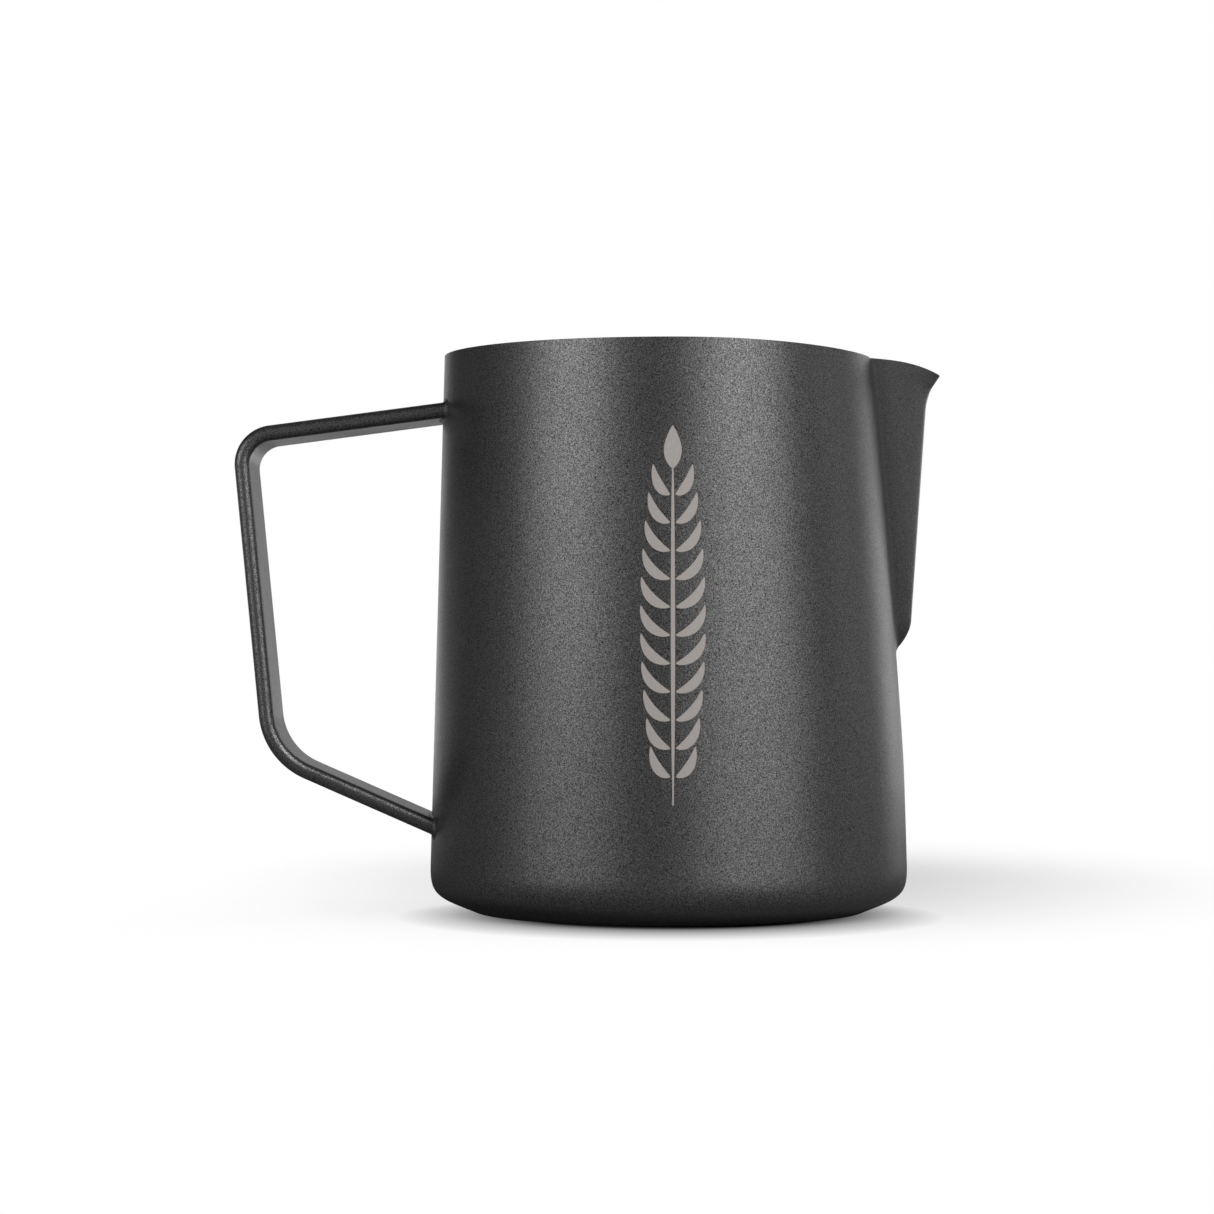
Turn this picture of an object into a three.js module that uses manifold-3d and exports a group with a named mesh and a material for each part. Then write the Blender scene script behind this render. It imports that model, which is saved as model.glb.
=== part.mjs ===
// Milk frothing pitcher: a drawn steel cup with a pressed V-shaped pouring spout and a bent strap handle,
// welded together and black coated. Millimetres, +Z up, +X towards the spout. The origin is the centre of
// the foot, on the plane that the pitcher stands on. The joints between the pieces are left a little open.

import * as THREE from 'three';
import { mergeVertices } from 'three/addons/utils/BufferGeometryUtils.js';
import Module from 'manifold-3d';

const wasm = await Module();
wasm.setup();

// ---- driving dimensions ----

// Cup
const HEIGHT = 103;
const SHEET = 0.9;
const WALL_RADIUS_AT_FOOT = 44.4;
const WALL_TAPER = 0.027;
const CORNER_RADIUS = 5.4;
const FOOT_RADIUS = 35.7;
const CHAMFER_ANGLE = THREE.MathUtils.degToRad(22);
const RIM_CHAMFER = 0.25;
const GROOVE_RADIUS = 27;
const GROOVE_WIDTH = 2.4;
const GROOVE_DEPTH = 0.3;

// The wall is drawn in beside the spout: deeper with height, and less with the angle from the spout.
const PINCH_SLOPE = 0.044;
const PINCH_HEIGHT = 28;
const PINCH_SOFTNESS = 4;
const PINCH_HALF_ANGLE = THREE.MathUtils.degToRad(78);

// The rim droops towards the spout.
const DROOP = 1;
const DROOP_REACH = 36;

// Spout
const SPOUT_BOTTOM = 48.5;
const SPOUT_SHOULDER = 101.8;
const TIP_X = 50.6;
const TIP_Z = 99.5;
const RIDGE_X = 45.2;
const RIDGE_LEAN = 0.0692;
const RIDGE_FOOT_Z = 54;
const RIDGE_FLARE = 0.7;
const FLARE_START_Z = 92.8;
const KINK_Z = 96.9;
const KINK_SOFTNESS = 0.12;
const BEAK_FADE = 2.2;
const NOSE_HEIGHT = 5.5;
const NOSE_POWER = 0.85;
const HALF_WIDTH_LOW = 2.6;
const HALF_WIDTH_SLOPE = 0.168;
const HALF_WIDTH_FLARE = 0.8;
const FLARE_HEIGHT = 9;
const RIDGE_ROUNDING = 2.6;
const LIP_ROUNDING = 1.4;
const LIP_SAG_POWER = 3.4;

// Seam weld round the spout
const SEAM_WIDTH = 1.3;
const SEAM_BEAD = 0.7;

// Handle strap: three straight stretches and two bends, given by its outer outline
const STRAP_THICKNESS = 2.8;
const STRAP_WIDTH = 20.4;
const STRAP_EDGE = 1.25;
const UPPER_CORNER = new THREE.Vector2(-80.45, 88.8);
const LOWER_CORNER = new THREE.Vector2(-74.5, 28.2);
const UPPER_RISE = THREE.MathUtils.degToRad(7.5);
const LOWER_FALL = THREE.MathUtils.degToRad(23.7);
const UPPER_BEND = 7.2;
const LOWER_BEND = 14;
const UPPER_BAR_LENGTH = 46;
const LOWER_BAR_LENGTH = 41;

// Handle welds
const WELD_LEG = 1.2;
const WELD_END = 0.4;
const WELD_SUNK = 6;
const JOINT_GAP = 0.3;

// How far a cutting solid runs past what it cuts
const OVERRUN = 5;

// Facets
const ROUND_SEGMENTS = 72;
const WALL_ROWS = 11;
const CORNER_STEPS = 6;
const SPOUT_ROWS = 26;
const SPOUT_COLUMNS = 16;
const SEAM_STEPS = 24;
const BEND_STEPS = 10;

// ---- materials ----

const coating = (color, roughness) => new THREE.MeshStandardMaterial({ color, roughness, metalness: 0.25 });
const cupCoating = coating(0x3c3c3e, 0.5);
const spoutCoating = coating(0x3e3e40, 0.5);
const handleCoating = coating(0x343436, 0.48);
const weldCoating = coating(0x242425, 0.6);

// ---- solids ----

function toSolid(geometry) {
  const bare = geometry.clone();
  bare.deleteAttribute('normal');
  bare.deleteAttribute('uv');
  const merged = mergeVertices(bare, 1e-4);
  const mesh = new wasm.Mesh({
    numProp: 3,
    vertProperties: Float32Array.from(merged.getAttribute('position').array),
    triVerts: Uint32Array.from(merged.index.array),
  });
  mesh.merge();
  return new wasm.Manifold(mesh);
}

function toGeometry(solid) {
  const mesh = solid.getMesh();
  const geometry = new THREE.BufferGeometry();
  geometry.setAttribute('position', new THREE.BufferAttribute(mesh.vertProperties, 3));
  geometry.setIndex(new THREE.BufferAttribute(mesh.triVerts, 1));
  return geometry;
}

function piece(name, geometry, material) {
  const bare = geometry.clone();
  bare.deleteAttribute('normal');
  bare.deleteAttribute('uv');
  const merged = mergeVertices(bare, 1e-4);
  merged.computeVertexNormals();
  const mesh = new THREE.Mesh(merged, material);
  mesh.name = name;
  return mesh;
}

// A closed skin over a row of rings of points, with a flat cap on the first and the last ring
function skinOfRings(rings) {
  const positions = rings.flat().flatMap((point) => point.toArray());
  const count = rings[0].length;
  const triangles = [];
  for (let i = 0; i + 1 < rings.length; i++) {
    for (let j = 0; j < count; j++) {
      const next = (j + 1) % count;
      const [a, b] = [i * count + j, i * count + next];
      const [c, d] = [a + count, b + count];
      triangles.push(a, b, d, a, d, c);
    }
  }
  const last = (rings.length - 1) * count;
  for (let j = 1; j + 1 < count; j++) {
    triangles.push(0, j + 1, j);
    triangles.push(last, last + j, last + j + 1);
  }
  const geometry = new THREE.BufferGeometry();
  geometry.setAttribute('position', new THREE.Float32BufferAttribute(positions, 3));
  geometry.setIndex(triangles);
  return geometry;
}

// ---- the wall's shape ----

const coneRadius = (z) => WALL_RADIUS_AT_FOOT - WALL_TAPER * z;

function pinchDepth(z) {
  const rise = z - PINCH_HEIGHT;
  return (PINCH_SLOPE / 2) * (rise + Math.hypot(rise, PINCH_SOFTNESS));
}

function pinchShare(azimuth) {
  const turn = azimuth / PINCH_HALF_ANGLE;
  return Math.abs(turn) < 1 ? (1 - turn * turn) ** 1.5 : 0;
}

const wallRadius = (z, azimuth) => coneRadius(z) - pinchDepth(z) * pinchShare(azimuth);

// x of the wall's outside at a height and a distance to the side of the spout's middle plane
function wallX(y, z) {
  let radius = coneRadius(z);
  for (let pass = 0; pass < 6; pass++) radius = wallRadius(z, Math.asin(y / radius));
  return Math.sqrt(radius * radius - y * y);
}

// Draws a turned cup in beside the spout and lets its rim droop there.
function formWall(geometry) {
  const position = geometry.getAttribute('position');
  for (let i = 0; i < position.count; i++) {
    const [x, y, z] = [position.getX(i), position.getY(i), position.getZ(i)];
    const share = wallRadius(z, Math.atan2(y, x)) / coneRadius(z);
    const droop = DROOP * (Math.max(x * share, 0) / DROOP_REACH) ** 2;
    position.setXYZ(i, x * share, y * share, z - droop * (z / HEIGHT) ** 4);
  }
}

// ---- cup ----

// The cup's half outline, as radius and height: out along the foot, up the wall, over the rim and back down.
function cupProfile() {
  const chamferFall = new THREE.Vector2(Math.cos(CHAMFER_ANGLE), Math.sin(CHAMFER_ANGLE));
  const outside = [new THREE.Vector2(FOOT_RADIUS, 0)];
  const inside = [new THREE.Vector2(FOOT_RADIUS - SHEET * Math.tan(CHAMFER_ANGLE / 2), SHEET)];
  // The corner's arc touches the chamfer and the wall, which is the line r = a - b z.
  const chamferNormal = new THREE.Vector2(-chamferFall.y, chamferFall.x);
  const inFromWall = CORNER_RADIUS * Math.hypot(1, WALL_TAPER);
  const start = outside[0].clone().addScaledVector(chamferNormal, CORNER_RADIUS);
  const along = (coneRadius(start.y) - inFromWall - start.x) / (chamferFall.x + WALL_TAPER * chamferFall.y);
  const centre = start.clone().addScaledVector(chamferFall, along);
  for (let i = 0; i <= CORNER_STEPS; i++) {
    const angle = THREE.MathUtils.lerp(CHAMFER_ANGLE - Math.PI / 2, Math.atan(WALL_TAPER), i / CORNER_STEPS);
    const spoke = new THREE.Vector2(Math.cos(angle), Math.sin(angle));
    outside.push(centre.clone().addScaledVector(spoke, CORNER_RADIUS));
    inside.push(centre.clone().addScaledVector(spoke, CORNER_RADIUS - SHEET));
  }
  const wallFoot = outside.at(-1).y;
  const rimFoot = HEIGHT - RIM_CHAMFER;
  for (let i = 1; i <= WALL_ROWS; i++) {
    const z = THREE.MathUtils.lerp(wallFoot, rimFoot, i / WALL_ROWS);
    outside.push(new THREE.Vector2(coneRadius(z), z));
    inside.push(new THREE.Vector2(coneRadius(z) - SHEET, z));
  }
  const rimOuter = new THREE.Vector2(coneRadius(HEIGHT) - RIM_CHAMFER, HEIGHT);
  const rimInner = new THREE.Vector2(coneRadius(HEIGHT) - SHEET + RIM_CHAMFER, HEIGHT);
  const groove = [
    [GROOVE_RADIUS - GROOVE_WIDTH / 2, 0],
    [GROOVE_RADIUS - GROOVE_WIDTH / 4, GROOVE_DEPTH],
    [GROOVE_RADIUS + GROOVE_WIDTH / 4, GROOVE_DEPTH],
    [GROOVE_RADIUS + GROOVE_WIDTH / 2, 0],
  ].map(([r, z]) => new THREE.Vector2(r, z));
  const underside = [new THREE.Vector2(0, 0), ...groove];
  const floor = [new THREE.Vector2(GROOVE_RADIUS, SHEET), new THREE.Vector2(0, SHEET)];
  return [...underside, ...outside, rimOuter, rimInner, ...inside.reverse(), ...floor];
}

// The opening in the wall that takes the spout and its seam: the spout's outline with the seam's width
// round it
function notchCutter() {
  const outline = seamCurve(SEAM_WIDTH);
  const open = HEIGHT + OVERRUN;
  const shape = new THREE.Shape([
    ...outline,
    new THREE.Vector2(outline.at(-1).x + 1, open),
    new THREE.Vector2(outline[0].x - 1, open),
  ]);
  const geometry = new THREE.ExtrudeGeometry(shape, { depth: coneRadius(0), bevelEnabled: false });
  const sideways = new THREE.Vector3(0, 1, 0);
  const upwards = new THREE.Vector3(0, 0, 1);
  const forwards = new THREE.Vector3(1, 0, 0);
  geometry.applyMatrix4(new THREE.Matrix4().makeBasis(sideways, upwards, forwards));
  return geometry.translate(coneRadius(0) / 2, 0, 0);
}

function cupGeometry() {
  const cup = new THREE.LatheGeometry(cupProfile(), ROUND_SEGMENTS);
  cup.rotateX(Math.PI / 2);
  formWall(cup);
  return toGeometry(toSolid(cup).subtract(toSolid(notchCutter())));
}

// ---- spout ----

// Half the spout's width where it meets the wall: round at the lower end, straight above, flared at the rim
function spoutHalfWidth(z) {
  const rise = THREE.MathUtils.clamp((z - SPOUT_BOTTOM) / NOSE_HEIGHT, 0, 1);
  const round = Math.sqrt(1 - (1 - rise) ** 2);
  const flare = Math.max(0, (z - SPOUT_SHOULDER + FLARE_HEIGHT) / FLARE_HEIGHT) ** 2;
  return (HALF_WIDTH_LOW + HALF_WIDTH_SLOPE * (z - SPOUT_BOTTOM)) * round + HALF_WIDTH_FLARE * flare;
}

// x of the ridge below the beak: a nose at the lower end, then a straight lean
function ridgeX(z) {
  const rise = THREE.MathUtils.clamp((z - SPOUT_BOTTOM) / NOSE_HEIGHT, 0, 1);
  const nose = (1 - (1 - rise) ** 2) ** NOSE_POWER;
  const straight = RIDGE_X + RIDGE_LEAN * (z - RIDGE_FOOT_Z);
  const wall = wallX(0, z);
  return wall + (straight - wall) * nose;
}

// How far a height is past the beak's kink, with the kink a little softened
function pastKink(z) {
  const past = z - KINK_Z;
  return (past + Math.hypot(past, KINK_SOFTNESS)) / 2;
}

// How far the beak stands out from the ridge's straight lean: a gentle flare, then the kink out to the tip
function beakReach(z) {
  const flare = THREE.MathUtils.clamp((z - FLARE_START_Z) / (KINK_Z - FLARE_START_Z), 0, 1) ** 2;
  const reach = TIP_X - RIDGE_FLARE - ridgeX(TIP_Z);
  return RIDGE_FLARE * flare + (reach * pastKink(z)) / pastKink(TIP_Z);
}

// The spout's outside: side runs -1 to 1 from seam to seam, rise runs 0 to 1 from the lower end to the lip.
function spoutPoint(side, rise) {
  const seamZ = THREE.MathUtils.lerp(SPOUT_BOTTOM, SPOUT_SHOULDER, rise);
  const ridgeZ = THREE.MathUtils.lerp(SPOUT_BOTTOM, TIP_Z, rise);
  const halfWidth = spoutHalfWidth(seamZ);
  const rounding = THREE.MathUtils.lerp(RIDGE_ROUNDING, LIP_ROUNDING, rise ** 4) * Math.min(1, halfWidth / 3);
  const y = halfWidth * side;
  const fold = Math.hypot(halfWidth, rounding) - rounding;
  const toSeam = fold > 0 ? (Math.hypot(y, rounding) - rounding) / fold : 0;
  const flank = THREE.MathUtils.lerp(ridgeX(ridgeZ), wallX(halfWidth, seamZ), toSeam);
  return new THREE.Vector3(
    flank + beakReach(ridgeZ) * (1 - toSeam) ** BEAK_FADE,
    y,
    THREE.MathUtils.lerp(seamZ, ridgeZ, (1 - toSeam) ** LIP_SAG_POWER),
  );
}

function spoutNormal(side, rise) {
  const step = 1e-3;
  const [low, high] = [Math.max(rise - step, 1e-3), Math.min(rise + step, 1)];
  const [left, right] = [Math.max(side - step, -1), Math.min(side + step, 1)];
  const across = spoutPoint(right, rise).sub(spoutPoint(left, rise));
  const up = spoutPoint(side, high).sub(spoutPoint(side, low));
  return across.cross(up).normalize();
}

// Both faces of the pressed sheet, joined along the seam and over the lip
function spoutGeometry() {
  const positions = [];
  const triangles = [];
  const faces = [0, SHEET].map((depth) => {
    const grid = [];
    for (let i = 1; i <= SPOUT_ROWS; i++) {
      const rise = (1 - Math.cos((Math.PI * i) / SPOUT_ROWS)) / 2;
      const row = [];
      for (let j = 0; j <= SPOUT_COLUMNS; j++) {
        const side = -Math.cos((Math.PI * j) / SPOUT_COLUMNS);
        const point = spoutPoint(side, rise).addScaledVector(spoutNormal(side, rise), -depth);
        row.push(positions.length / 3);
        positions.push(...point);
      }
      grid.push(row);
    }
    return grid;
  });
  const quad = (a, b, c, d) => triangles.push(a, b, c, a, c, d);
  const [outer, inner] = faces;
  const end = SPOUT_COLUMNS;
  for (let i = 0; i + 1 < SPOUT_ROWS; i++) {
    for (let j = 0; j < SPOUT_COLUMNS; j++) {
      quad(outer[i][j], outer[i][j + 1], outer[i + 1][j + 1], outer[i + 1][j]);
      quad(inner[i][j + 1], inner[i][j], inner[i + 1][j], inner[i + 1][j + 1]);
    }
    quad(inner[i][0], outer[i][0], outer[i + 1][0], inner[i + 1][0]);
    quad(outer[i][end], inner[i][end], inner[i + 1][end], outer[i + 1][end]);
  }
  const lip = SPOUT_ROWS - 1;
  for (let j = 0; j < SPOUT_COLUMNS; j++) {
    quad(outer[lip][j], outer[lip][j + 1], inner[lip][j + 1], inner[lip][j]);
    quad(outer[0][j + 1], outer[0][j], inner[0][j], inner[0][j + 1]);
  }
  const geometry = new THREE.BufferGeometry();
  geometry.setAttribute('position', new THREE.Float32BufferAttribute(positions, 3));
  geometry.setIndex(triangles);
  return geometry;
}

// ---- seam weld ----

// The spout's outline seen from the front, moved out by a distance, from the left of the rim round to the
// right
function seamCurve(distance) {
  const half = [];
  for (let i = 0; i <= SEAM_STEPS; i++) {
    const rise = (1 - Math.cos((Math.PI * i) / SEAM_STEPS)) / 2;
    const z = THREE.MathUtils.lerp(SPOUT_BOTTOM, SPOUT_SHOULDER, rise);
    half.push(new THREE.Vector2(spoutHalfWidth(z), z));
  }
  const right = half.map((point, i) => {
    const along = half[Math.min(i + 1, SEAM_STEPS)].clone().sub(half[Math.max(i - 1, 0)]).normalize();
    const out = i === 0 ? new THREE.Vector2(0, -1) : new THREE.Vector2(along.y, -along.x);
    return point.clone().addScaledVector(out, distance);
  });
  const left = right.slice(1).map((point) => new THREE.Vector2(-point.x, point.y));
  return [...left.reverse(), ...right];
}

function seamGeometry() {
  const near = seamCurve((SEAM_WIDTH - SEAM_BEAD) / 2);
  const far = seamCurve((SEAM_WIDTH + SEAM_BEAD) / 2);
  const onWall = (point, depth) => {
    const x = wallX(Math.abs(point.x), point.y);
    const inwards = new THREE.Vector3(-x, -point.x, 0).normalize();
    return new THREE.Vector3(x, point.x, point.y).addScaledVector(inwards, depth);
  };
  const rings = near.map((point, i) => [
    onWall(point, 0),
    onWall(far[i], 0),
    onWall(far[i], SHEET),
    onWall(point, SHEET),
  ]);
  return skinOfRings(rings);
}

// ---- handle ----

const direction = (angle) => new THREE.Vector2(Math.cos(angle), Math.sin(angle));

// Where two lines cross, each given by a point and a direction
function crossing(pointA, alongA, pointB, alongB) {
  const step = pointB.clone().sub(pointA).cross(alongB) / alongA.cross(alongB);
  return pointA.clone().addScaledVector(alongA, step);
}

const grip = LOWER_CORNER.clone().sub(UPPER_CORNER).normalize();
const gripOut = grip.angle() - Math.PI / 2;
const upperOut = UPPER_RISE + Math.PI / 2;
const lowerOut = 1.5 * Math.PI - LOWER_FALL;

// The centre of a bend of the given outer radius between the grip and a bar
function bendCentre(corner, barOut, radius) {
  const bar = direction(barOut + Math.PI / 2);
  const gripLine = corner.clone().addScaledVector(direction(gripOut), -radius);
  const barLine = corner.clone().addScaledVector(direction(barOut), -radius);
  return crossing(gripLine, grip, barLine, bar);
}

// The bent strap, which runs on into the cup's wall. grow thickens it all round, for cutting its neighbours.
function strapGeometry(grow) {
  const upperCentre = bendCentre(UPPER_CORNER, upperOut, UPPER_BEND);
  const lowerCentre = bendCentre(LOWER_CORNER, lowerOut, LOWER_BEND);
  const upperEnd = UPPER_CORNER.clone().addScaledVector(direction(UPPER_RISE), UPPER_BAR_LENGTH);
  const lowerEnd = LOWER_CORNER.clone().addScaledVector(direction(-LOWER_FALL), LOWER_BAR_LENGTH);
  const thin = STRAP_THICKNESS + grow;
  const shape = new THREE.Shape();
  const at = (point, out, distance) => point.clone().addScaledVector(direction(out), distance);
  shape.moveTo(...at(upperEnd, upperOut, -thin));
  shape.lineTo(...at(upperEnd, upperOut, grow));
  shape.absarc(...upperCentre, UPPER_BEND + grow, upperOut, gripOut, false);
  shape.absarc(...lowerCentre, LOWER_BEND + grow, gripOut, lowerOut, false);
  shape.lineTo(...at(lowerEnd, lowerOut, grow));
  shape.lineTo(...at(lowerEnd, lowerOut, -thin));
  shape.absarc(...lowerCentre, LOWER_BEND - thin, lowerOut, gripOut, true);
  shape.absarc(...upperCentre, UPPER_BEND - thin, gripOut, upperOut, true);
  const width = STRAP_WIDTH + 2 * grow;
  const geometry = new THREE.ExtrudeGeometry(shape, {
    depth: width - 2 * STRAP_EDGE,
    curveSegments: BEND_STEPS,
    bevelSize: STRAP_EDGE,
    bevelOffset: -STRAP_EDGE,
    bevelThickness: STRAP_EDGE,
    bevelSegments: 3,
  });
  const along = new THREE.Vector3(1, 0, 0);
  const up = new THREE.Vector3(0, 0, 1);
  const across = new THREE.Vector3(0, -1, 0);
  geometry.applyMatrix4(new THREE.Matrix4().makeBasis(along, up, across));
  return geometry.translate(0, width / 2 - STRAP_EDGE, 0);
}

// The space that the cup fills, with the joint's gap round it
function cupSpace() {
  const [low, high] = [-OVERRUN, HEIGHT + OVERRUN];
  const cone = new THREE.LatheGeometry(
    [
      new THREE.Vector2(0, low),
      new THREE.Vector2(coneRadius(low) + JOINT_GAP, low),
      new THREE.Vector2(coneRadius(high) + JOINT_GAP, high),
      new THREE.Vector2(0, high),
    ],
    ROUND_SEGMENTS,
  );
  return toSolid(cone.rotateX(Math.PI / 2));
}

const handleGeometry = () => toGeometry(toSolid(strapGeometry(0)).subtract(cupSpace()));

// ---- handle welds ----

// A fillet of weld right round one end of the strap. along points down the bar, into the wall.
function filletGeometry(corner, along, out) {
  const middle = corner.clone().addScaledVector(direction(out), -STRAP_THICKNESS / 2);
  // Where the bar's middle line meets the cone's outline: r = a - b z at x = -r
  const bar = direction(along);
  const reach = (-coneRadius(middle.y) - middle.x) / (bar.x - WALL_TAPER * bar.y);
  const foot = middle.clone().addScaledVector(bar, reach);
  const bevel = WELD_LEG - WELD_END;
  const half = new THREE.Vector2(STRAP_WIDTH / 2 + WELD_LEG, STRAP_THICKNESS / 2 + WELD_LEG);
  const turn = Math.PI / 2;
  const shape = new THREE.Shape();
  shape.absarc(half.x - WELD_LEG, half.y - WELD_LEG, WELD_LEG, 0, turn, false);
  shape.absarc(WELD_LEG - half.x, half.y - WELD_LEG, WELD_LEG, turn, 2 * turn, false);
  shape.absarc(WELD_LEG - half.x, WELD_LEG - half.y, WELD_LEG, 2 * turn, 3 * turn, false);
  shape.absarc(half.x - WELD_LEG, WELD_LEG - half.y, WELD_LEG, 3 * turn, 4 * turn, false);
  const geometry = new THREE.ExtrudeGeometry(shape, {
    depth: WELD_SUNK,
    curveSegments: 4,
    bevelSize: bevel,
    bevelOffset: -bevel,
    bevelThickness: WELD_LEG,
    bevelSegments: 2,
  });
  // The section's x runs across the strap, its y away from the strap's flat and its z out of the wall.
  const outwards = new THREE.Vector3(-bar.x, 0, -bar.y);
  const across = new THREE.Vector3(0, 1, 0);
  const upwards = outwards.clone().cross(across);
  geometry.translate(0, 0, -WELD_SUNK);
  geometry.applyMatrix4(new THREE.Matrix4().makeBasis(across, upwards, outwards));
  geometry.translate(foot.x, 0, foot.y);
  return toGeometry(toSolid(geometry).subtract(cupSpace()).subtract(toSolid(strapGeometry(JOINT_GAP))));
}

// ---- assembly ----

const pitcher = new THREE.Group();
pitcher.add(
  piece('cup_body', cupGeometry(), cupCoating),
  piece('spout', spoutGeometry(), spoutCoating),
  piece('spout_seam_weld', seamGeometry(), weldCoating),
  piece('handle', handleGeometry(), handleCoating),
  piece('handle_weld_upper', filletGeometry(UPPER_CORNER, UPPER_RISE, upperOut), weldCoating),
  piece('handle_weld_lower', filletGeometry(LOWER_CORNER, -LOWER_FALL, lowerOut), weldCoating),
);

export default pitcher;
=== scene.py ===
"""The looks of the milk frothing pitcher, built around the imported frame.

Metres, +Z up, +X towards the spout, and the camera looks along +Y. Shapes are worked out in millimetres and
become metres when a mesh is made.
"""

import math

import bmesh
import bpy
import numpy as np
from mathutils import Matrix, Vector


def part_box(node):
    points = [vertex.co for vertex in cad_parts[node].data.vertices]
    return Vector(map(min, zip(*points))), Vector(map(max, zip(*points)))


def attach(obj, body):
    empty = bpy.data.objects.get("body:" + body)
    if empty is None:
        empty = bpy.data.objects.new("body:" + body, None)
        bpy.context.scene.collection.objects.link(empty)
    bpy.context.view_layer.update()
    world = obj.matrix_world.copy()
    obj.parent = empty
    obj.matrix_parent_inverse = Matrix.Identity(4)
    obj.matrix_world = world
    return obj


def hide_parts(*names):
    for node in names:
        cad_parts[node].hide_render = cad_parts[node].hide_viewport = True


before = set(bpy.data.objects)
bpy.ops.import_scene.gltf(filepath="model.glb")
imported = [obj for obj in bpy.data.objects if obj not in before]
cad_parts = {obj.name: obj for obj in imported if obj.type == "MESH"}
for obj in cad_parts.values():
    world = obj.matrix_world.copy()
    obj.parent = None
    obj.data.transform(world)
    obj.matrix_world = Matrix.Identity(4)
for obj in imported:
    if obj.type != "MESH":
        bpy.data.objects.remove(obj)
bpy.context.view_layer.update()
MM = 0.001
SEAM_DISTANCE = "seam_distance"
MERGE_DISTANCE = 2e-4
SHORTEST_EDGE = 1e-4
WALL_PASSES = 6
SPOUT_PASSES = 12
CONE_PASSES = 30

# ---- sizes taken from the frame, mm ----

HEIGHT = (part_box("cup_body")[1] / MM).z
TIP_X = (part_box("spout")[1] / MM).x
STRAP_LOW, STRAP_HIGH = (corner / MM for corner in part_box("handle"))
STRAP_WIDTH = STRAP_HIGH.y - STRAP_LOW.y

# ---- cup, mm ----

SHEET = 0.9
WALL_TAPER = 0.027
WALL_RADIUS_AT_FOOT = 44.4
CORNER_REACH = 5.2
CORNER_FULLNESS = 1.7
CORNER_STEPS = 21
FOOT_RADIUS = 35.7
FOOT_RINGS = (0, 8, 16, 22)
FOOT_EDGE = 1.2
FOOT_EDGE_STEPS = 6
CHAMFER_ANGLE = math.radians(22)
GROOVE_RADIUS = 27.0
GROOVE_WIDTH = 2.4
GROOVE_DEPTH = 0.3
GROOVE_STEPS = 9
RIM_ROUNDING = 0.28
RIM_SEGMENTS = 3
RIM_ANGLE = math.radians(50)
CRISP_ANGLE = math.radians(40)
PINCH_SLOPE = 0.044
PINCH_HEIGHT = 28.0
PINCH_SOFTNESS = 4.0
PINCH_HALF_ANGLE = math.radians(78)
DROOP = 1.0
DROOP_REACH = 36.0
CUP_COLUMNS = 288
NOSE_BAND = 8.0
ROWS_BELOW_NOSE = 34
ROWS_BESIDE_NOSE = 24
ROWS_ABOVE_NOSE = 46

# ---- spout, mm ----

SPOUT_BOTTOM = 48.5
SPOUT_SHOULDER = 101.8
SPOUT_SPAN = SPOUT_SHOULDER - SPOUT_BOTTOM
SPOUT_COLUMNS = 73
TIP_Z = 99.5
RIDGE_X = 45.2
RIDGE_LEAN = 0.0692
RIDGE_FOOT_Z = 54.0
RIDGE_FLARE = 0.7
FLARE_START_Z = 92.8
KINK_Z = 96.9
KINK_SOFTNESS = 0.12
BEAK_FADE = 2.2
NOSE_HEIGHT = 5.5
NOSE_POWER = 0.85
NOSE_ROWS = 25
NOSE_ROWS_SKIPPED = 3
CREASE_ROWS = 60
HALF_WIDTH_LOW = 2.6
HALF_WIDTH_SLOPE = 0.168
HALF_WIDTH_FLARE = 0.8
FLARE_HEIGHT = 9.0
RIDGE_ROUNDING = 2.6
SLIM_HALF_WIDTH = 3.0
LIP_ROUNDING = 1.4
LIP_SAG_POWER = 3.4
LIP_TRIM = 0.25
LIP_TRIM_REACH = 2.5
LIP_BAND = 3.2
LIP_ROWS = 14
SEAM_ON_WALL = 1.6
SEAM_ON_SPOUT = 0.9
SEAM_PROUD = 0.012
SEAM_SHADE_REACH = 3.5
SEAM_RIM_STEPS = 5
SLOPE_STEP = 1e-3

# ---- etched leaf, mm ----

LEAF_LOW = 21.5
LEAF_HIGH = 87.5
LEAF_PAIRS = 11
LEAF_FIRST_PAIR = 26.5
LEAF_PAIRS_SPAN = 49.0
LEAF_HALF_WIDTH = 5.6
LEAF_STEM = 0.38
LEAF_STEM_END = 5.0
LEAF_BUD_LENGTH = 7.5
LEAF_BUD = 1.5
LEAFLET = 0.82
LEAFLET_START = 0.5
LEAFLET_BEND = 0.85
LEAFLET_BEND_RISE = 0.6
LEAFLET_RISE = 5.2
BLADE_STEPS = 25
BLADE_END = 0.05
ETCH_PROUD = 0.03
ETCH_SUNK = 0.12

# ---- handle strap, mm ----

STRAP_THICKNESS = 2.8
STRAP_EDGE = 1.32
STRAP_EDGE_STEPS = 8
STRAP_FACE_STEPS = 18
UPPER_CORNER = np.array([-80.45, 88.8])
LOWER_CORNER = np.array([-74.5, 28.2])
UPPER_RISE = math.radians(7.5)
LOWER_FALL = math.radians(23.7)
UPPER_BEND = 7.2
LOWER_BEND = 14.0
UPPER_STRAIGHT = 20
LOWER_STRAIGHT = 8
UPPER_STRAIGHT_STEPS = 24
UPPER_BEND_STEPS = 24
LOWER_BEND_STEPS = 30
LOWER_STRAIGHT_STEPS = 16
STRAP_END_STEPS = 20
WELD_LEG = 0.7
WELD_STEPS = 9
WELD_CLEARS_STRAP = 0.02

# ---- finishes ----

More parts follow.
